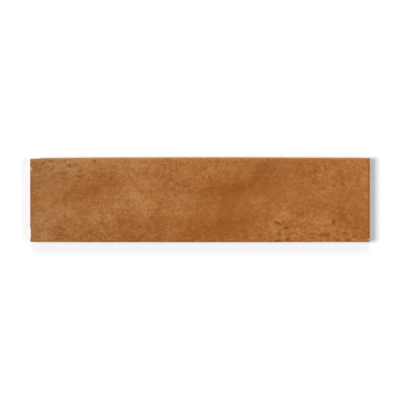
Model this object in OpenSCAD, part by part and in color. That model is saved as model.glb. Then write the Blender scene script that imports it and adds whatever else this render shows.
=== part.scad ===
// Brick-format ceramic tile, dry-pressed and fired in one piece.
// The face is up at z = thickness, and the crowns of the back ribs lie on z = 0.
// X runs along the length, Y across the width. All sizes are in millimetres.

/* [Format] */
// Length of the tile at mid width
tile_length = 300; // [150:1:450]
// Width of the tile at mid length
tile_width = 75; // [60:0.5:150]
// Thickness from the face to the crowns of the back ribs
thickness = 9; // [7:0.5:12]

/* [Firing bow] */
// How far the rear long side falls in at its left end
rear_left_bow = 0.75; // [0:0.05:1.5]
// How far the rear long side falls in at its right end
rear_right_bow = 0.5; // [0:0.05:1.5]
// How far the front long side falls in at its two ends
front_bow = 0.15; // [0:0.05:1.5]
// How far each short side falls in at its two ends
end_bow = 0.1; // [0:0.05:0.5]

/* [Edges] */
// Radius of the upright corners, seen from above
corner_radius = 0.8; // [0.3:0.1:3]
// Width of the cushion edge round the face
cushion_width = 1.4; // [0.5:0.1:3]
// Drop of the cushion edge from the face to the upright wall
cushion_drop = 0.9; // [0.3:0.1:2]
// Height above the back at which the upright wall starts
wall_start = 3; // [1.5:0.1:4]
// How far the tapered foot of the wall stands in at the back
foot_inset = 0.8; // [0.3:0.1:1.5]
// Chamfer between the tapered foot and the back
back_arris = 0.4; // [0.2:0.1:0.8]

/* [Back ribs] */
// Width of the plain border round the back
border_width = 6; // [3:0.5:12]
// Wanted distance from rib to rib, which a whole number of pockets then fits
wanted_pitch = 14.5; // [10:0.5:30]
// Width of a rib's crown
rib_crown = 2.6; // [1.5:0.1:5]
// Depth of the key pockets between the ribs
pocket_depth = 1; // [0.5:0.1:1.5]
// Slope of a pocket's flanks from the upright
flank_angle = 35; // [10:1:55]
// Corner radius of a pocket at its mouth
pocket_corner = 2.4; // [2.2:0.1:3.5]

/* [Edge wear] */
// Length along the left short side of the hollow rubbed into it
hollow_length = 12; // [6:0.5:20]
// Depth of the hollow at the face, running out to nothing at the foot
hollow_depth = 0.5; // [0.2:0.05:1]
// Distance from the front long side to the middle of the hollow
hollow_place = 7.5; // [4:0.5:40]
// Radius of the scallop that a chip leaves in the face's rim
chip_radius = 1.3; // [1:0.1:4]
// Depth of a chip, measured down from the face
chip_depth = 0.65; // [0.2:0.05:0.8]
// Distance from the short side to the middle of a chip
chip_inset = 1.1; // [0.6:0.1:3]
// Distance from the rear long side to the chip in the left short side
left_chip_place = 10; // [3:0.5:30]
// Distance from the front long side to the chip in the right short side
right_chip_place = 2.5; // [2:0.5:30]

/* [Hidden] */

side_steps = 15;   // straight steps along a long side: odd, so that one lies square at mid length
end_steps = 3;     // straight steps along a short side: odd, for the same reason
corner_steps = 3;  // steps round an upright corner
cushion_steps = 5; // steps over the cushion edge
least_radius = 0.05;
pocket_overcut = 0.5; // how far a pocket's tool reaches out of the back

half_length = tile_length / 2;
half_width = tile_width / 2;

// The ribs fill the back inside the border: one rib fewer than there are pockets.
back_length = tile_length - 2 * (foot_inset + back_arris);
back_width = tile_width - 2 * (foot_inset + back_arris);
field_length = back_length - 2 * border_width;
field_width = back_width - 2 * border_width;
pockets_long = max(1, round((field_length + rib_crown) / wanted_pitch));
pockets_wide = max(1, round((field_width + rib_crown) / wanted_pitch));
pitch_long = (field_length + rib_crown) / pockets_long;
pitch_wide = (field_width + rib_crown) / pockets_wide;
pocket_length = pitch_long - rib_crown;
pocket_width = pitch_wide - rib_crown;

// A rounded rectangle as points, anticlockwise, with its long sides cut into steps.
function corner(centre, radius, from) =
    [for (k = [0:corner_steps])
        let (a = from + 90 * k / corner_steps)
        centre + radius * [cos(a), sin(a)]];

function between(a, b, steps) = [for (k = [1:1:steps - 1]) a + (b - a) * k / steps];

function rounded_rectangle(length, width, radius) =
    let (x = length / 2 - radius, y = width / 2 - radius)
    concat(
        corner([x, -y], radius, -90),
        between([x + radius, -y], [x + radius, y], end_steps),
        corner([x, y], radius, 0),
        between([x, y + radius], [-x, y + radius], side_steps),
        corner([-x, y], radius, 90),
        between([-x - radius, y], [-x - radius, -y], end_steps),
        corner([-x, -y], radius, 180),
        between([-x, -y - radius], [x, -y - radius], side_steps)
    );

// The kiln leaves the sides a little barrelled: fullest at mid side, falling in at the corners.
function bowed(p) =
    let (rear_bow = p.x < 0 ? rear_left_bow : rear_right_bow,
         side_bow = p.y > 0 ? rear_bow : front_bow)
    [p.x * (1 - end_bow / half_length * pow(p.y / half_width, 2)),
     p.y * (1 - side_bow / half_width * pow(p.x / half_length, 2))];

// The tile's outline at one height, drawn in from its widest by inset.
function outline(inset, z) =
    let (radius = max(corner_radius - inset, least_radius))
    [for (p = rounded_rectangle(tile_length - 2 * inset, tile_width - 2 * inset, radius))
        let (q = bowed(p))
        [q.x, q.y, z]];

// The edge's section as [inset, height], from the back up to the face.
edge_section = concat(
    [[foot_inset + back_arris, 0],
     [foot_inset, back_arris],
     [0, wall_start]],
    [for (k = [0:cushion_steps])
        let (a = 90 * k / cushion_steps)
        [cushion_width * (1 - cos(a)), thickness - cushion_drop * (1 - sin(a))]]
);

// A solid skinned over a stack of rings that hold equally many points, lowest ring first.
module loft(rings) {
    n = len(rings[0]);
    top = len(rings) - 1;
    walls = [for (r = [0:top - 1], i = [0:n - 1])
        let (a = r * n + i, b = r * n + (i + 1) % n)
        each [[a, a + n, b + n], [a, b + n, b]]];
    floor_face = [for (i = [0:n - 1]) i];
    roof_face = [for (i = [n - 1:-1:0]) top * n + i];
    polyhedron(points = [for (ring = rings) each ring],
               faces = concat([floor_face], walls, [roof_face]));
}

// The pressed blank: cushion edge, upright wall and tapered foot, with a plain back.
module blank() {
    loft([for (e = edge_section) outline(e[0], e[1])]);
}

// A bar along Y with the pocket's sloping flanks at its two sides.
module flanked_bar(half_mouth, length) {
    run = tan(flank_angle);
    rotate([90, 0, 0])
        linear_extrude(length, center = true)
            polygon([[-half_mouth - pocket_overcut * run, -pocket_overcut],
                     [half_mouth + pocket_overcut * run, -pocket_overcut],
                     [half_mouth - pocket_depth * run, pocket_depth],
                     [-half_mouth + pocket_depth * run, pocket_depth]]);
}

// One key pocket, with drafted flanks and coned corners, to be cut out of the back.
module key_pocket() {
    run = tan(flank_angle);
    x = pocket_length / 2 - pocket_corner;
    y = pocket_width / 2 - pocket_corner;
    flanked_bar(pocket_length / 2, 2 * y);
    rotate(90) flanked_bar(pocket_width / 2, 2 * x);
    for (i = [-1, 1], j = [-1, 1])
        translate([i * x, j * y, -pocket_overcut])
            cylinder(h = pocket_depth + pocket_overcut,
                     r1 = pocket_corner + pocket_overcut * run,
                     r2 = pocket_corner - pocket_depth * run, $fn = 24);
}

// The pattern of key pockets, which leaves the ribs standing between them.
module key_pockets() {
    for (i = [0:pockets_long - 1], j = [0:pockets_wide - 1])
        translate([(i - (pockets_long - 1) / 2) * pitch_long,
                   (j - (pockets_wide - 1) / 2) * pitch_wide, 0])
            key_pocket();
}

// The hollow rubbed into the left short side: a leaning round bar, deepest at the face.
module rubbed_hollow() {
    radius = (pow(hollow_length / 2, 2) + pow(hollow_depth, 2)) / (2 * hollow_depth);
    lean = atan(hollow_depth / (thickness - wall_start));
    translate([-half_length + hollow_depth, -half_width + hollow_place, thickness])
        rotate([0, lean, 0])
            translate([-radius, 0, 0])
                cylinder(h = 4 * thickness, r = radius, center = true, $fn = 96);
}

// A chip out of the face's rim on a short side: side is -1 on the left and 1 on the right.
module chip(side, y) {
    translate([side * (half_length - chip_inset), y, thickness + chip_radius - chip_depth])
        sphere(r = chip_radius, $fn = 48);
}

module edge_wear() {
    rubbed_hollow();
    chip(-1, half_width - left_chip_place);
    chip(1, -half_width + right_chip_place);
}

module tile() {
    color([0.65, 0.42, 0.22])
        difference() {
            blank();
            key_pockets();
            edge_wear();
        }
}

tile();
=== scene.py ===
"""The looks of a 7.5 x 30 cm ceramic wall tile: dry-pressed, fired clay under a matt, mottled glaze."""

import math

import bmesh
import bpy
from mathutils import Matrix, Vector


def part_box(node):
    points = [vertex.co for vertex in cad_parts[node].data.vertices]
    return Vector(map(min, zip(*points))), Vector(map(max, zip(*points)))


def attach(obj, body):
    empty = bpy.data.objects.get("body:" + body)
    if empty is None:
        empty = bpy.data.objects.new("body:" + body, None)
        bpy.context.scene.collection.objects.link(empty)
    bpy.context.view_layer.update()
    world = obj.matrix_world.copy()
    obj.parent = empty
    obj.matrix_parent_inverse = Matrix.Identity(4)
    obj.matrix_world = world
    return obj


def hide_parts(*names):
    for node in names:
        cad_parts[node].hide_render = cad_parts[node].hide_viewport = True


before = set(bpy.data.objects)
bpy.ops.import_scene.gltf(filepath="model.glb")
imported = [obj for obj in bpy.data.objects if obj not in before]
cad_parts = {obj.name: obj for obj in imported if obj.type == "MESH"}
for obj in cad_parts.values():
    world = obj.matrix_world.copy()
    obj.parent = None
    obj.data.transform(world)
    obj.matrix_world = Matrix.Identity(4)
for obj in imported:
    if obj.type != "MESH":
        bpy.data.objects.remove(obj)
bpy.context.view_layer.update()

MM = 0.001

# The tile's overall size comes from the frame. The sizes below are its own. All are in millimetres.
LOW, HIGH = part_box("tile")
LENGTH = (HIGH.x - LOW.x) / MM
WIDTH = (HIGH.y - LOW.y) / MM
THICKNESS = (HIGH.z - LOW.z) / MM

CUSHION_WIDTH = 1.4
CUSHION_DROP = 0.9
WALL_START = 3.0
FOOT_INSET = 0.8
BACK_ARRIS = 0.4
CORNER_RADIUS = 0.8
LEAST_RADIUS = 0.05
CUSHION_ROWS = 6
WALL_ROWS = 7
FOOT_ROWS = 4

# Firing bow: how far each long side falls in at its ends
REAR_LEFT_BOW = 0.75
REAR_RIGHT_BOW = 0.5
FRONT_BOW = 0.15

POCKETS_LONG = 20
POCKETS_WIDE = 4
BORDER = 6.0
RIB_CROWN = 2.6
POCKET_DEPTH = 1.0
POCKET_FLANK = math.radians(35)
POCKET_CORNER = 2.4
POCKET_CORNER_STEPS = 5

# A pocket's section as shares of its run and depth: a worn lip, the flank, and a fillet to the floor
POCKET_STEPS = ((0.14, 0.04), (0.12, 0.12), (0.48, 0.68), (0.12, 0.12), (0.14, 0.04))

FACE_CELL = 0.75  # grid spacing of the glazed face, fine enough for its relief

# Wear: a hollow rubbed into the left short side, and a blunt end to the rear long side
EDGE_BAND = 3
HOLLOW_PLACE = -30
HOLLOW_HALF_LENGTH = 2.5
HOLLOW_HEIGHT = 2
HOLLOW_DEPTH = 0.5
HOLLOW_BLEND = 4.5
BLUNT_LENGTH = 9
BLUNT_DEPTH = 0.42
BLUNT_BLEND = 2

# Chips out of the rim of the face, at their distances from the rear and the front long side
LEFT_CHIP_PLACE = 10
RIGHT_CHIP_PLACE = 2.5
CHIP_RADIUS = 1.3
CHIP_DEPTH = 0.65
CHIP_INSET = 1.1
CHIP_ROUGHNESS = 0.1
CHIP_SHAPE = (1.15, 0.75, 1)  # how much longer and narrower than a ball
LEAST_EDGE = 0.03  # edges shorter than this, which a cut leaves, are closed up

# The glaze: its relief as (size, depth) of its swells, and the height on the walls at which it ends
SLOW_SWELL = (42, 0.14)
PEBBLING = (3.4, 0.05)
GLAZE_END = 5
GLAZE_FADE = 0.8


# ---------------------------------------------------------------- modelling by hand


def only(piece):
    """Makes this piece the one thing that an operator acts on."""
    bpy.ops.object.select_all(action="DESELECT")
    piece.select_set(True)
    bpy.context.view_layer.objects.active = piece


def start_edit(piece):
    only(piece)
    bpy.ops.object.mode_set(mode="EDIT")
    bpy.ops.mesh.select_all(action="DESELECT")


def end_edit():
    bpy.ops.object.mode_set(mode="OBJECT")


def pick(piece, parts, wanted):
    """In edit mode, selects the verts, edges or faces that wanted() says yes to."""
    bpy.ops.mesh.select_mode(type={"verts": "VERT", "edges": "EDGE", "faces": "FACE"}[parts])
    bpy.ops.mesh.select_all(action="DESELECT")
    shape = bmesh.from_edit_mesh(piece.data)
    for part in getattr(shape, parts):
        part.select_set(bool(wanted(part)))
    shape.select_flush_mode()
    bmesh.update_edit_mesh(piece.data)


def settle():
    """Writes the active object's place into its mesh."""
    bpy.ops.object.transform_apply(location=True, rotation=True, scale=True)


def apply_modifiers(piece):
    only(piece)
    for modifier in list(piece.modifiers):
        bpy.ops.object.modifier_apply(modifier=modifier.name)


def edge_section():
    """The edge as (inset, height) rings, from the rim of the face down to the back."""
    turns = [math.radians(90 - 90 * k / CUSHION_ROWS) for k in range(CUSHION_ROWS + 1)]
    cushion = [
        (CUSHION_WIDTH * (1 - math.cos(a)), THICKNESS - CUSHION_DROP * (1 - math.sin(a)))
        for a in turns
    ]
    wall_top = THICKNESS - CUSHION_DROP
    wall_drop = (wall_top - WALL_START) / WALL_ROWS
    wall = [(0, wall_top - wall_drop * k) for k in range(1, WALL_ROWS + 1)]
    foot_drop = (WALL_START - BACK_ARRIS) / FOOT_ROWS
    foot = [
        (FOOT_INSET * k / FOOT_ROWS, WALL_START - foot_drop * k) for k in range(1, FOOT_ROWS + 1)
    ]
    return cushion + wall + foot + [(FOOT_INSET + BACK_ARRIS, 0)]


def round_corner(x, y, inset):
    """Where a point of a square-cornered ring goes when the ring's corners are rounded."""
    radius = max(CORNER_RADIUS - inset, LEAST_RADIUS)
    from_side_x = LENGTH / 2 - inset - abs(x)
    from_side_y = WIDTH / 2 - inset - abs(y)
    if from_side_x > radius or from_side_y > radius:
        return x, y
    turn = math.radians(45) * (1 + (from_side_x - from_side_y) / radius)
    centre_x = LENGTH / 2 - inset - radius
    centre_y = WIDTH / 2 - inset - radius
    return (
        math.copysign(centre_x + radius * math.cos(turn), x),
        math.copysign(centre_y + radius * math.sin(turn), y),
    )


def pressed_blank():
    """The tile as it leaves the press, still open at the back: a fine face, drawn down ring by ring."""
    section = edge_section()
    face_length = LENGTH - 2 * CUSHION_WIDTH
    face_width = WIDTH - 2 * CUSHION_WIDTH
    bpy.ops.mesh.primitive_grid_add(
        x_subdivisions=round(face_length / FACE_CELL),
        y_subdivisions=round(face_width / FACE_CELL),
        size=1,
        location=(0, 0, THICKNESS * MM),
    )
    blank = bpy.context.object
    blank.name = "fired_tile"
    blank.scale = (face_length * MM, face_width * MM, 1)
    settle()
    start_edit(blank)
    bpy.ops.mesh.select_all(action="SELECT")
    bpy.ops.mesh.region_to_loop()
    for (inset, height), (next_inset, next_height) in zip(section, section[1:]):
        drop = (next_height - height) * MM
        bpy.ops.mesh.extrude_edges_move(TRANSFORM_OT_translate={"value": (0, 0, drop)})
        wider = (LENGTH - 2 * next_inset) / (LENGTH - 2 * inset)
        deeper = (WIDTH - 2 * next_inset) / (WIDTH - 2 * inset)
        bpy.ops.transform.resize(value=(wider, deeper, 1), center_override=(0, 0, 0))
    end_edit()

    # Each ring is known by its height, which gives the inset that its corners are rounded for
    insets = {round(height, 3): inset for inset, height in section}
    for vertex in blank.data.vertices:
        inset = insets.get(round(vertex.co.z / MM, 3))
        if inset is not None and vertex.co.z / MM < THICKNESS - 0.001:
            x, y = round_corner(vertex.co.x / MM, vertex.co.y / MM, inset)
            vertex.co.x, vertex.co.y = x * MM, y * MM
    return blank


def draw_in_end(blank, side, rear_fall, front_fall):
    """Firing bow: one end is narrowed, and the long sides follow it on a parabola to mid length."""
    end = side * (LENGTH / 2 - CUSHION_WIDTH - FACE_CELL / 2) * MM
    start_edit(blank)
    pick(blank, "verts", lambda v: (v.co.x - end) * side > 0)
    narrower = (rear_fall + front_fall) / WIDTH
    # Drawing in about this line shares the narrowing out between the two long sides
    still = WIDTH / 2 - rear_fall / narrower
    bpy.ops.transform.resize(
        value=(1, 1 - narrower, 1),
        center_override=(0, still * MM, 0),
        use_proportional_edit=True,
        proportional_edit_falloff="SHARP",
        proportional_size=LENGTH / 2 * MM,
    )
    end_edit()


def key_pockets():
    """The back's key pockets: one is sunk from its mouth to its floor, then repeated both ways."""
    field_length = LENGTH - 2 * (FOOT_INSET + BACK_ARRIS + BORDER)
    field_width = WIDTH - 2 * (FOOT_INSET + BACK_ARRIS + BORDER)
    pitch_long = (field_length + RIB_CROWN) / POCKETS_LONG
    pitch_wide = (field_width + RIB_CROWN) / POCKETS_WIDE
    first_x = -(POCKETS_LONG - 1) / 2 * pitch_long
    first_y = -(POCKETS_WIDE - 1) / 2 * pitch_wide
    bpy.ops.mesh.primitive_plane_add(
        size=1, location=(first_x * MM, first_y * MM, 0), rotation=(math.pi, 0, 0)
    )
    pockets = bpy.context.object
    pockets.name = "key_pockets"
    pockets.scale = ((pitch_long - RIB_CROWN) * MM, (pitch_wide - RIB_CROWN) * MM, 1)
    settle()
    start_edit(pockets)
    bpy.ops.mesh.select_all(action="SELECT")
    bpy.ops.mesh.bevel(
        offset=POCKET_CORNER * MM,
        segments=POCKET_CORNER_STEPS,
        affect="VERTICES",
        clamp_overlap=False,
    )
    bpy.ops.mesh.select_mode(type="FACE")
    bpy.ops.mesh.select_all(action="SELECT")
    run = POCKET_DEPTH * math.tan(POCKET_FLANK)
    for in_share, down_share in POCKET_STEPS:
        bpy.ops.mesh.inset(thickness=run * in_share * MM, depth=-POCKET_DEPTH * down_share * MM)
    end_edit()
    for count, step in (
        (POCKETS_LONG, (pitch_long * MM, 0, 0)),
        (POCKETS_WIDE, (0, pitch_wide * MM, 0)),
    ):
        row = pockets.modifiers.new("row", "ARRAY")
        row.count = count
        row.use_relative_offset = False
        row.use_constant_offset = True
        row.constant_offset_displace = step
    apply_modifiers(pockets)
    return pockets


def close_back(blank, pockets):
    """Joins the pockets to the blank and fills the plane of the ribs between all the open rims."""
    only(blank)
    pockets.select_set(True)
    bpy.ops.object.join()
    start_edit(blank)
    pick(blank, "edges", lambda e: e.is_boundary)
    bpy.ops.mesh.fill()
    bpy.ops.mesh.select_all(action="SELECT")
    bpy.ops.mesh.normals_make_consistent(inside=False)
    end_edit()


def rub(piece, where, push, blend):
    """Wears an edge: the verts that where() picks give way by push, and those within blend follow."""
    start_edit(piece)
    pick(piece, "verts", lambda v: where(v.co / MM))
    bpy.ops.transform.translate(
        value=Vector(push) * MM,
        use_proportional_edit=True,
        proportional_edit_falloff="SMOOTH",
        proportional_size=blend * MM,
    )
    end_edit()


def in_hollow(p):
    """The hollow in the left short side, deepest at the face."""
    near_face = p.z > THICKNESS - HOLLOW_HEIGHT
    return p.x < EDGE_BAND - LENGTH / 2 and near_face and abs(p.y - HOLLOW_PLACE) < HOLLOW_HALF_LENGTH


def in_blunt_end(p):
    """The last stretch of the rear long side at its left end, which stands in a little."""
    at_end = p.x < BLUNT_LENGTH - LENGTH / 2
    return at_end and p.y > WIDTH / 2 - EDGE_BAND and p.z > WALL_START - 1


def ripple(piece, name, size, depth, group):
    """Sinks a group of verts here and there, by up to depth, in swells of this size (mm)."""
    swell = bpy.data.textures.new(name, "CLOUDS")
    swell.noise_scale = size * MM
    swell.noise_depth = 2
    relief = piece.modifiers.new(name, "DISPLACE")
    relief.texture = swell
    relief.texture_coords = "LOCAL"
    relief.mid_level = 1
    relief.strength = depth * MM
    relief.vertex_group = group
    apply_modifiers(piece)


def glaze_relief(piece):
    """The glaze's own uneven skin: long slow swells, and the fine pebbling that it dries with."""
    glazed = piece.vertex_groups.new(name="glazed")
    for vertex in piece.data.vertices:
        share = min(max((vertex.co.z / MM - WALL_START) / 2, 0), 1)
        if share > 0:
            glazed.add([vertex.index], share, "REPLACE")
    ripple(piece, "slow_swell", *SLOW_SWELL, "glazed")
    ripple(piece, "pebbling", *PEBBLING, "glazed")
    piece.vertex_groups.clear()


def knock_chip(piece, body, side, y, turn, seed):
    """A flake gone from the rim of the face: a rough, longish ball cut out of it, baring the body."""
    bpy.ops.object.select_all(action="DESELECT")
    bpy.ops.mesh.primitive_ico_sphere_add(
        subdivisions=3,
        radius=CHIP_RADIUS * MM,
        location=(
            side * (LENGTH / 2 - CHIP_INSET) * MM,
            y * MM,
            (THICKNESS + CHIP_RADIUS - CHIP_DEPTH) * MM,
        ),
    )
    flake = bpy.context.object
    flake.data.materials.append(body)
    start_edit(flake)
    bpy.ops.mesh.select_all(action="SELECT")
    bpy.ops.transform.vertex_random(offset=CHIP_ROUGHNESS * MM, seed=seed)
    bpy.ops.transform.resize(value=CHIP_SHAPE)
    bpy.ops.transform.rotate(
        value=math.radians(turn), orient_axis="Z", center_override=flake.location
    )
    end_edit()
    cut = piece.modifiers.new("chip", "BOOLEAN")
    cut.operation = "DIFFERENCE"
    cut.solver = "EXACT"
    cut.material_mode = "TRANSFER"
    cut.object = flake
    apply_modifiers(piece)
    bpy.data.objects.remove(flake, do_unlink=True)
    start_edit(piece)
    bpy.ops.mesh.select_all(action="SELECT")
    bpy.ops.mesh.remove_doubles(threshold=LEAST_EDGE * MM)
    end_edit()


# ---------------------------------------------------------------- finishes


def linear(hex_colour):
    """A colour written in sRGB hex, as the linear RGBA that the shaders take."""
    parts = [int(hex_colour[k : k + 2], 16) / 255 for k in (1, 3, 5)]
    return tuple(p / 12.92 if p <= 0.04045 else ((p + 0.055) / 1.055) ** 2.4 for p in parts) + (1,)


def add(owner, kind, inputs, out=0, stops=(), **settings):
    """Adds a node with its settings, values, colour stops and links, and gives the output asked for."""
    tree = owner.node_tree
    node = tree.nodes.new("ShaderNode" + kind)
    for name, value in settings.items():
        setattr(node, name, value)
    for number, (position, hex_colour) in enumerate(stops):
        ramp = node.color_ramp.elements
        stop = ramp[number] if number < 2 else ramp.new(position)
        stop.position = position
        stop.color = linear(hex_colour)
    for name, value in inputs.items():
        if isinstance(value, bpy.types.NodeSocket):
            tree.links.new(value, node.inputs[name])
        else:
            node.inputs[name].default_value = value
    return node.outputs[out] if node.outputs else None


# Sockets that share their names with another form of the same node: Mix on colours, and Map Range
# on vectors
MIX_A, MIX_B, MIX_RESULT = 6, 7, 2
FROM_MIN, FROM_MAX, TO_MIN, TO_MAX = 7, 8, 9, 10


def new_material(name):
    material = bpy.data.materials.new(name)
    material.use_nodes = True
    material.node_tree.nodes.clear()
    return material


def millimetres(material):
    """Where a point lies on the piece, in millimetres."""
    metres = add(material, "TexCoord", {}, out="Object")
    return add(material, "Mapping", {"Vector": metres, "Scale": (1000, 1000, 1000)})


def layered(material, place, layers):
    """Adds up noises centred on nought. Each is (grain size, detail, gain), and the size is in
    millimetres, all round or along X, Y and Z."""
    total = -0.5 * sum(gain for _, _, gain in layers)
    for size, detail, gain in layers:
        sizes = size if isinstance(size, tuple) else (size, size, size)
        scaled = add(material, "Mapping", {"Vector": place, "Scale": tuple(1 / s for s in sizes)})
        noise = add(material, "TexNoise", {"Vector": scaled, "Scale": 1, "Detail": detail})
        total = add(material, "Math", {0: noise, 1: gain, 2: total}, operation="MULTIPLY_ADD")
    return total


def wandering(material, place, amounts):
    """Lets a place stray, so that edges turn ragged. Each amount is (grain size, how far), in mm."""
    for size, reach in amounts:
        noise = add(
            material, "TexNoise", {"Vector": place, "Scale": 1 / size, "Detail": 2}, out="Color"
        )
        centred = add(
            material, "VectorMath", {0: noise, 1: (0.5, 0.5, 0.5)}, operation="SUBTRACT"
        )
        place = add(
            material,
            "VectorMath",
            {0: centred, 1: (reach, reach, reach), 2: place},
            operation="MULTIPLY_ADD",
        )
    return place


def marked(material, place, marks, total):
    """Adds soft oval marks, each (x, y, half length, half width, turn in degrees, tone). A mark has half
    its tone at its half sizes, none at twice them, and runs straight down through the tile."""
    for x, y, long, wide, turn, tone in marks:
        inside = add(
            material,
            "Mapping",
            {
                "Vector": place,
                "Location": (x, y, 0),
                "Rotation": (0, 0, math.radians(turn)),
                "Scale": (2 * long, 2 * wide, 100 * THICKNESS),
            },
            vector_type="TEXTURE",
        )
        nearness = add(
            material, "TexGradient", {"Vector": inside}, out="Fac", gradient_type="SPHERICAL"
        )
        soft = add(
            material,
            "MapRange",
            {"Value": nearness, "To Max": tone},
            interpolation_type="SMOOTHSTEP",
        )
        total = add(material, "Math", {0: soft, 1: total}, operation="ADD")
    return total


# The tones at the two ends of the glaze's colours, each tone being about one step of an 8-bit colour
DARKEST, PALEST = -26, 24

# Where the glaze fired darker (below nought) or paler (above) than its mean: x, y, half length,
# half width (mm), turn (degrees), tone
CLOUDS = (
    (-92, 12, 20, 9, 20, -11), (-98, 10, 6, 4, 0, -4), (-79, 18, 6, 4, 0, -5), (-108, 2, 5, 4, 0, -4),
    (-118, 5, 7, 3, 10, -6), (-122, 18, 12, 4, 0, -4), (-105, -12, 4, 3, 0, -5), (-124, -30, 5, 6, 0, -9),
    (-97, -28, 6, 5, 0, -8), (-88, -33, 4, 3, 0, -6), (-85, -22, 2, 6, 0, -4), (-113, -22, 8, 3, 0, -4),
    (-67, -18, 6, 4, 0, -7), (-54, -23, 14, 6, 0, -8), (-62, -34, 12, 4, 0, -8), (-38, -34, 8, 4, 0, -9),
    (-37, -19, 5, 9, 10, -9), (-143, 1, 4, 4, 0, -4), (-28, 16, 4, 5, 0, -7), (-14, 10, 5, 4, 0, -7),
    (-62, -3, 4, 4, 0, -7), (-12, -20, 14, 5, 0, -6), (-8, -33, 10, 4, 0, -9),
    (-133, 10, 10, 4, 0, 6), (-133, -5, 5, 4, 0, 7), (-115, -8, 9, 3, 0, 5), (-137, -17, 12, 4, 0, 8),
    (-139, -33, 4, 4, 0, 4), (-91, -13, 3, 5, 0, 9), (-79, -14, 3, 5, 0, 9), (-73, -4, 3, 6, 0, 12),
    (-59, 4, 11, 5, -40, 12), (-52, 15, 6, 4, 20, 8), (-48, -4, 8, 7, 0, 9), (-69, 24, 4, 3, 0, 8),
    (-125, 29, 6, 4, 0, 7), (-53, 29, 9, 4, 0, 7), (-13, 28, 6, 3, 0, 9), (-21, -8, 4, 8, 0, 6),
    (-14, 2, 4, 3, 0, 6), (-4, 1, 3, 3, 0, 5), (-28, -29, 2, 4, 0, 6), (-32, 6, 3, 3, 0, 4),
    (24, 11, 26, 6, 3, -16), (53, 24, 10, 6, 40, -12), (22, -8, 10, 12, 0, -10), (22, -26, 26, 10, 0, -16),
    (43, -14, 6, 6, 0, -8), (66, 14, 5, 3, 0, -7), (72, 26, 12, 4, -10, -4), (68, 4, 6, 3, 50, -4),
    (90, 12, 8, 5, 0, -4), (88, 29, 5, 5, 0, -6), (94, -3, 5, 3, 0, -5), (92, -10, 8, 3, 0, -6),
    (125, 16, 4, 5, 0, -5), (137, 25, 4, 5, -30, -7), (128, 1, 6, 3, 20, -6), (126, -12, 4, 7, 0, -9),
    (140, -18, 5, 9, 15, -10), (133, -22, 14, 8, 0, -5), (146, -31, 3, 4, 0, -7), (110, -31, 5, 3, 0, -10),
    (12, -15, 4, 4, 0, 6), (51, -2, 5, 4, 0, 8), (50, -27, 6, 6, 0, 6), (65, -27, 3, 8, 0, 8),
    (79, 4, 4, 6, 0, 8), (71, -14, 7, 4, -30, 7), (88, -17, 8, 3, 0, 8), (110, -20, 7, 7, 0, 9),
    (116, -3, 5, 3, 0, 5), (112, 7, 7, 2, 20, 8), (107, 25, 4, 4, 0, 9), (118, 24, 3, 4, 0, 4),
    (134, 13, 5, 4, 0, 6), (147, 15, 4, 11, 0, 8), (11, 24, 3, 3, 0, 6), (24, 20, 3, 3, 0, 5),
    (-85, 34, 60, 5, 0, 6), (34, 4, 9, 5, 0, -8), (4, -8, 4, 14, 0, -5), (76, -17, 9, 5, -10, 5),
    (-26, -8, 7, 6, 0, 4), (-60, 16, 6, 6, 0, 4),
    # the broad drifts of light and dark under them
    (-122, 36, 36, 16, 0, 8), (50, 8, 34, 20, 20, -5), (-140, 12, 14, 14, 0, -4), (120, -36, 50, 12, 0, 3),
    (-98, -32, 26, 12, 0, -5), (-30, -34, 44, 10, 0, -4), (80, 2, 16, 10, 0, -1), (143, 34, 12, 10, 0, 7),
    (147, 0, 12, 70, 0, 2), (-139, 28, 14, 8, 0, -4),
)

# Where it fired duller and more olive (below nought) or redder (above), in the same terms
HUES = (
    (-150, 0, 34, 90, 0, -0.65), (-138, 38, 40, 22, 0, -0.5), (150, 0, 30, 80, 0, -0.4),
    (48, 4, 60, 36, 0, 0.3), (-34, -26, 24, 16, 0, 0.4), (62, 28, 12, 8, 0, -1.1),
    (-96, -34, 40, 12, 0, -0.6),
)

# Painted light along the arrises, in the same terms: a painted highlight along the rear arris, painted
# shade along the front and right ones, and a darker band along the left one
ARRIS_PAINTED_LIGHT = (
    (0, 37.6, 200, 2, 0, 20), (0, -37.4, 200, 1.5, 0, -6),
    (-150, 0, 1.4, 60, 0, -15), (148.7, 0, 0.8, 60, 0, -12),
)

# Pale flecks where the glaze crawled thin, in the same terms
FLECKS = (
    (73.5, -28.5, 1.2, 3, 0, 13), (117, -30, 4, 1.6, 0, 11),
)

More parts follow.
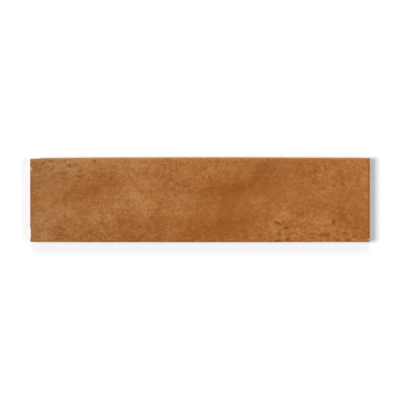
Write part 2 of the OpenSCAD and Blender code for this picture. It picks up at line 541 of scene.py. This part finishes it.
# Specks and dashes of iron in the glaze; the last figure is how much of it shows
IRON = (
    (-138.2, 32.3, 1.5, 0.9, 0, 1), (-131.3, 34, 3, 0.8, 0, 0.7), (-129.3, 28.6, 1.5, 0.9, 20, 0.5),
    (-142.8, 25.8, 2.2, 1.8, 0, 0.35), (-119.4, 34, 0.9, 1.6, 0, 0.55), (-115, 30.1, 1.3, 1.3, 20, 0.9),
    (-117.8, 28.7, 0.9, 0.9, 0, 0.65), (-119.2, 22.8, 1.8, 0.9, 0, 0.65), (-124, 23.6, 2.4, 0.7, 0, 0.55),
    (-140.5, 30.4, 2, 0.8, 0, 0.5), (-135.6, 29, 1, 1, 0, 0.5), (-146, 32, 2.6, 0.9, 0, 0.6),
    (-109.3, 30.4, 2.6, 0.7, 0, 0.65), (-106.5, 30.4, 1, 0.8, 0, 0.35), (-105.6, 24.9, 1.1, 1.2, 0, 0.65),
    (-106.8, 20.7, 1.8, 0.8, -15, 0.8), (-103.4, 21.7, 1.6, 0.8, 20, 0.75),
    (-100.3, 22.8, 0.9, 0.8, 0, 0.5), (-107.7, 16.6, 1.6, 0.9, 0, 0.25), (-93, 34, 1.6, 0.9, 0, 0.8),
    (-92.4, 31.7, 0.8, 1.2, 0, 0.2), (-79.3, 20, 1.2, 2.8, 0, 0.2), (68.4, -20.6, 2.4, 1.1, -25, 1),
    (76, -24.8, 2.6, 1.3, 20, 0.95), (70, -30, 1, 2, 0, 0.8), (53, -31, 1.8, 0.9, 0, 0.8),
    (77, -35, 2, 1.2, 30, 1), (69, -36, 2.2, 1.05, 0, 1), (8, 20, 1.1, 1.1, 0, 0.8),
    (117.8, -18.8, 1.4, 2.3, -20, 0.95), (109.5, -31, 4, 1.6, 0, 0.6), (121, -35.3, 2.4, 1, 0, 0.85),
    (137.5, -24.6, 3.2, 1, 0, 0.6), (102, 26, 1.1, 1, 0, 0.85), (98, 24, 0.8, 1.6, 30, 0.5),
    (-149.4, 10.2, 1, 1.4, 0, 0.6), (130, -35.6, 1.7, 1, 0, 1), (98, -30, 1.4, 1, 0, 0.75),
    (127.5, -30, 1.6, 1, 0, 0.75), (64, -16.5, 0.9, 1.8, 20, 0.2), (125.5, -13.5, 2.2, 1, 0, 0.4),
)

# Zones where the glaze is thin and its grain shows more; the last figure is by how much
GRAINY = (
    (-122, 38, 44, 18, 0, 0.4), (-5, 36, 50, 18, 0, 0.45), (122, 28, 40, 24, 0, 0.35),
    (72, -30, 26, 20, 0, 0.6), (118, -34, 38, 22, 0, 0.5), (-100, -30, 50, 24, 0, 0.4),
    (-40, 2, 22, 16, 0, 0.25), (-42, -38, 34, 12, 0, 0.35), (14, -26, 12, 12, 0, 0.2),
    (45, 4, 40, 30, 40, -0.25),
)

# Zones where the spray ran into fine upright streaks: the last figure is how strongly
BRUSHED = (
    (-82, -10, 12, 16, 0, 1), (-51, 2, 8, 10, 0, 0.8), (-15, 4, 5, 14, 0, 0.6), (62, -24, 10, 8, 0, 0.7),
    (113, 27, 9, 8, 20, 0.6), (-20, 30, 12, 5, 0, 0.6),
)


def clay_colour(material, place):
    """The fired clay, wherever it shows: a pinkish buff, mottled, with small dark grit."""
    mottle = layered(material, place, ((9, 3, 0.9), (1.6, 2, 0.8), (0.7, 1, 0.6)))
    share = add(material, "Math", {0: mottle, 1: 0.5}, operation="ADD")
    colour = add(
        material,
        "ValToRGB",
        {"Fac": share},
        stops=((0.1, "#b08265"), (0.5, "#cfa588"), (0.9, "#e2c4a8")),
    )
    grit = add(material, "TexVoronoi", {"Vector": place, "Scale": 1 / 2.2}, out="Distance")
    speck = add(material, "MapRange", {"Value": grit, "From Min": 0.16, "From Max": 0.08})
    return add(
        material,
        "Mix",
        {0: speck, MIX_A: colour, MIX_B: linear("#7d5138")},
        out=MIX_RESULT,
        data_type="RGBA",
    )


def make_bisque():
    """Bisque-fired clay, dry pressed: a dry, sandy, pinkish buff with no gloss at all."""
    material = new_material("bisque_clay_dry_pressed")
    place = millimetres(material)
    colour = clay_colour(material, place)
    height = layered(material, place, ((1.1, 3, 1), (0.45, 1, 0.5)))
    # The rib crowns carry the white alumina wash that keeps a tile from sticking to the kiln rollers
    z = add(material, "SeparateXYZ", {"Vector": place}, out="Z")
    low = add(material, "MapRange", {"Value": z, "From Min": 0.25, "From Max": 0.02})
    patch = layered(material, place, (((14, 5, 14), 4, 2.6), (1.2, 2, 1.2)))
    patchy = add(material, "Math", {0: patch, 1: 0.45}, operation="ADD", use_clamp=True)
    wash = add(material, "Math", {0: low, 1: patchy}, operation="MULTIPLY")
    colour = add(
        material,
        "Mix",
        {0: wash, MIX_A: colour, MIX_B: linear("#e6dccb")},
        out=MIX_RESULT,
        data_type="RGBA",
    )
    sand = add(material, "Bump", {"Height": height, "Strength": 1, "Distance": 0.09 * MM})
    surface = add(
        material,
        "BsdfPrincipled",
        {
            "Base Color": colour,
            "Roughness": 0.92,
            "IOR": 1.5,
            "Specular IOR Level": 0.2,
            "Normal": sand,
        },
    )
    add(material, "OutputMaterial", {"Surface": surface})
    return material


def glaze_tone(material, place, wander, ragged):
    """Light and dark on the face: slow drifts and the clouds of this tile, under a grain that shows
    most where the glaze is thin, with pale flecks and upright streaks."""
    tone = layered(material, place, (((22, 18, 20), 2, 10), (8, 2, 14)))
    tone = marked(material, wander, CLOUDS, tone)
    grain = layered(
        material, place, (((4.2, 2.8, 3.4), 2, 34), (1.9, 1, 33), (1.1, 1, 40), (0.5, 3, 20))
    )
    thinness = marked(material, wander, GRAINY, 1.05)
    tone = add(material, "Math", {0: grain, 1: thinness, 2: tone}, operation="MULTIPLY_ADD")
    tone = marked(material, ragged, FLECKS, tone)
    brushed = layered(material, ragged, (((1.5, 11, 11), 2, 46),))
    zone = marked(material, wander, BRUSHED, 0)
    return add(material, "Math", {0: brushed, 1: zone, 2: tone}, operation="MULTIPLY_ADD")


def arris_thinning_and_painted_light(material, z, ragged, tone):
    """Glaze draws back from an arris as it melts, so the cushion edge is a little paler than the face
    inside it and the wall below it. Over that go a painted highlight along the rear arris, painted shade
    along the front and right ones, and a darker band along the left one."""
    rim = add(
        material,
        "MapRange",
        {"Value": z, "From Min": THICKNESS - 0.1, "From Max": THICKNESS - 0.7, "To Max": 14},
    )
    # A painted highlight on the rear arris, painted shade on the front and right ones, and a darker band
    # on the left one
    rim = marked(material, ragged, ARRIS_PAINTED_LIGHT, rim)
    above_wall = add(
        material, "MapRange", {"Value": z, "From Min": THICKNESS - 2.2, "From Max": THICKNESS - 1}
    )
    return add(material, "Math", {0: rim, 1: above_wall, 2: tone}, operation="MULTIPLY_ADD")


def warmed(material, place, along, wander, colour):
    """The glaze fired duller towards the left end and warmer towards the right, and unevenly between."""
    hue = layered(material, place, ((16, 2, 1.8), (4.5, 2, 3.4), (1.5, 1, 1.7)))
    warmth = add(material, "Math", {0: along, 1: hue}, operation="ADD")
    warmth = marked(material, wander, HUES, warmth)
    tint = add(
        material,
        "MapRange",
        {
            "Vector": warmth,
            FROM_MIN: (-1, -1, -1),
            FROM_MAX: (1, 1, 1),
            TO_MIN: (0.965, 1.03, 1.13),
            TO_MAX: (1.035, 0.98, 0.9),
        },
        out="Vector",
        data_type="FLOAT_VECTOR",
        clamp=False,
    )
    return add(material, "VectorMath", {0: colour, 1: tint}, operation="MULTIPLY")


def specked(material, along, ragged, colour):
    """Iron specks, brown towards the left end and rustier towards the right."""
    rusty = add(material, "MapRange", {"Value": along, "From Min": 0, "From Max": 0.4})
    rust = add(
        material,
        "Mix",
        {0: rusty, MIX_A: linear("#7a3900"), MIX_B: linear("#833c00")},
        out=MIX_RESULT,
        data_type="RGBA",
    )
    iron = marked(material, ragged, IRON, 0)
    return add(
        material,
        "Mix",
        {0: iron, MIX_A: colour, MIX_B: rust},
        out=MIX_RESULT,
        data_type="RGBA",
    )


def glaze_colour(material, place, z):
    """The glaze's own colour, from its tone to its pores."""
    along = add(material, "SeparateXYZ", {"Vector": place}, out="X")
    along = add(material, "Math", {0: along, 1: LENGTH / 2}, operation="DIVIDE")
    wander = wandering(material, place, ((15, 12), (4, 4)))
    ragged = wandering(material, place, ((1.5, 1.2),))
    tone = glaze_tone(material, place, wander, ragged)
    tone = arris_thinning_and_painted_light(material, z, ragged, tone)
    share = add(material, "MapRange", {"Value": tone, "From Min": DARKEST, "From Max": PALEST})
    colour = add(
        material,
        "ValToRGB",
        {"Fac": share},
        stops=(
            (0, "#8f4c14"),
            (0.25, "#995924"),
            (0.5, "#a36632"),
            (0.75, "#ad733e"),
            (1, "#b77f49"),
        ),
    )
    colour = warmed(material, place, along, wander, colour)
    colour = specked(material, along, ragged, colour)
    # Fine pores in the matt skin, which shade every colour alike
    pores = layered(material, place, ((1.5, 1, 0.14), (0.7, 1, 0.12)))
    shade = add(material, "Math", {0: pores, 1: 1}, operation="ADD")
    return add(material, "VectorMath", {0: colour, 1: shade}, operation="MULTIPLY")


def make_glaze():
    """Matt glaze, sprayed and fired: an eggshell brown, clouded darker and paler, thin at the arrises,
    with a painted highlight and painted shade along them.
    """
    material = new_material("matt_glaze_mottled_brown")
    place = millimetres(material)
    z = add(material, "SeparateXYZ", {"Vector": place}, out="Z")
    glaze = glaze_colour(material, place, z)

    # The spray reaches part way down the walls and ends in a ragged line over the bare clay
    body = clay_colour(material, place)
    spray = layered(material, place, ((11, 3, 2.4), (1.4, 2, 2.2)))
    level = add(material, "Math", {0: z, 1: spray}, operation="ADD")
    covered = add(
        material,
        "MapRange",
        {"Value": level, "From Min": GLAZE_END, "From Max": GLAZE_END + GLAZE_FADE},
    )
    colour = add(
        material,
        "Mix",
        {0: covered, MIX_A: body, MIX_B: glaze},
        out=MIX_RESULT,
        data_type="RGBA",
    )
    sheen = layered(material, place, ((12, 2, 0.2), (1.5, 1, 0.2)))
    dull = add(material, "MapRange", {"Value": covered, "To Min": 0.9, "To Max": 0.58})
    roughness = add(material, "Math", {0: dull, 1: sheen}, operation="ADD")
    skin = layered(material, place, ((2.4, 2, 1), (0.8, 1, 0.8), (0.28, 2, 0.14)))
    bump = add(material, "Bump", {"Height": skin, "Strength": 1, "Distance": 0.18 * MM})
    surface = add(
        material,
        "BsdfPrincipled",
        {
            "Base Color": colour,
            "Roughness": roughness,
            "IOR": 1.5,
            "Specular IOR Level": 0.13,
            "Normal": bump,
        },
    )
    add(material, "OutputMaterial", {"Surface": surface})
    return material


# ---------------------------------------------------------------- the tile


glaze = make_glaze()
bisque = make_bisque()

tile = pressed_blank()
draw_in_end(tile, -1, REAR_LEFT_BOW, FRONT_BOW)
draw_in_end(tile, 1, REAR_RIGHT_BOW, FRONT_BOW)
rub(tile, in_hollow, (HOLLOW_DEPTH, 0, 0), HOLLOW_BLEND)
rub(tile, in_blunt_end, (0, -BLUNT_DEPTH, 0), BLUNT_BLEND)
glaze_relief(tile)
close_back(tile, key_pockets())

# Glazed all over, but for the tapered foot and the back
tile.data.materials.append(glaze)
tile.data.materials.append(bisque)
start_edit(tile)
pick(tile, "faces", lambda f: f.calc_center_median().z < (WALL_START + 0.01) * MM)
tile.active_material_index = 1
bpy.ops.object.material_slot_assign()
end_edit()

knock_chip(tile, bisque, side=-1, y=WIDTH / 2 - LEFT_CHIP_PLACE, turn=80, seed=3)
knock_chip(tile, bisque, side=1, y=RIGHT_CHIP_PLACE - WIDTH / 2, turn=-40, seed=8)

only(tile)
bpy.ops.object.shade_smooth_by_angle(angle=math.radians(32))
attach(tile, "root")
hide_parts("tile")


# ---------------------------------------------------------------- studio


# How the plain light is shared out, and how much of the card shows as clean white whatever its light
KEY_SHARE = 0.64
REAR_SHARE = 0.16
FILL_SHARE = 0.17
ROOM_SHARE = 0.06
CARD_LIFT = 0.12

COOL_WHITE = "#f9fcff"
VIEW_RAYS = ("Camera", "Glossy", "Transmission")

# The card's side, its drop below the tile, and the camera's place over the middle of the face
CARD_SIZE = 12000
CARD_GAP = 0.02
CAMERA_RISE = 1322.8
CAMERA_BACK = 0.2


def seen_directly(owner):
    """One where the eye, a reflection or a see-through meets this, and nought where light does."""
    rays = [add(owner, "LightPath", {}, out=f"Is {kind} Ray") for kind in VIEW_RAYS]
    seen = add(owner, "Math", {0: rays[0], 1: rays[1]}, operation="ADD")
    return add(owner, "Math", {0: seen, 1: rays[2]}, operation="ADD", use_clamp=True)


def make_card():
    """A white studio card: matt white that keeps the tile's shadow and shows as clean white."""
    material = new_material("white_studio_card")
    seen = seen_directly(material)
    colour = add(
        material,
        "Mix",
        {0: seen, MIX_A: linear("#e8e8e8"), MIX_B: linear("#feffff")},
        out=MIX_RESULT,
        data_type="RGBA",
    )
    matt = add(material, "BsdfDiffuse", {"Color": colour})
    clean = add(material, "Emission", {"Color": linear("#ffffff"), "Strength": 1})
    lift = add(material, "Math", {0: seen, 1: CARD_LIFT}, operation="MULTIPLY")
    surface = add(material, "MixShader", {0: lift, 1: matt, 2: clean})
    add(material, "OutputMaterial", {"Surface": surface})
    return material


def studio_light(name, share, azimuth, elevation, spread, tint="#ffffff"):
    """A large far softbox that gives this share of the plain light on a level surface. Its azimuth is
    turned from X towards Y, and spread is how wide it looks, all in degrees."""
    lamp = bpy.data.lights.new(name, "SUN")
    lamp.angle = math.radians(spread)
    lamp.color = linear(tint)[:3]
    lamp.energy = share * math.pi / math.sin(math.radians(elevation))
    holder = bpy.data.objects.new(name, lamp)
    bpy.context.collection.objects.link(holder)
    turn, rise = math.radians(azimuth), math.radians(elevation)
    towards = Vector(
        (math.cos(turn) * math.cos(rise), math.sin(turn) * math.cos(rise), math.sin(rise))
    )
    holder.rotation_euler = towards.to_track_quat("Z", "Y").to_euler()


bpy.ops.object.select_all(action="DESELECT")
bpy.ops.mesh.primitive_plane_add(size=CARD_SIZE * MM, location=(0, 0, -CARD_GAP * MM))
card = bpy.context.object
card.name = "studio_card"
card.data.materials.append(make_card())

studio_light("key_from_the_left", KEY_SHARE, azimuth=181, elevation=49, spread=30)
studio_light("soft_from_the_rear", REAR_SHARE, 90, 38, 28, COOL_WHITE)
studio_light("fill_from_the_right", FILL_SHARE, -8, 44, 22, COOL_WHITE)

room = bpy.data.worlds.new("white_room")
bpy.context.scene.world = room
room.use_nodes = True
room.node_tree.nodes.clear()
strength = add(
    room, "MapRange", {"Value": seen_directly(room), "To Min": ROOM_SHARE, "To Max": 1}
)
glow = add(room, "Background", {"Color": linear(COOL_WHITE), "Strength": strength})
add(room, "OutputWorld", {"Surface": glow})

bpy.context.scene.view_settings.view_transform = "Standard"

# Straight down from high over the middle of the face
lens = bpy.data.cameras.new("overhead")
lens.sensor_width = 36
lens.lens = 135
overhead = bpy.data.objects.new("overhead", lens)
bpy.context.collection.objects.link(overhead)
overhead.location = (0, -CAMERA_BACK * MM, (THICKNESS + CAMERA_RISE) * MM)
bpy.context.scene.camera = overhead
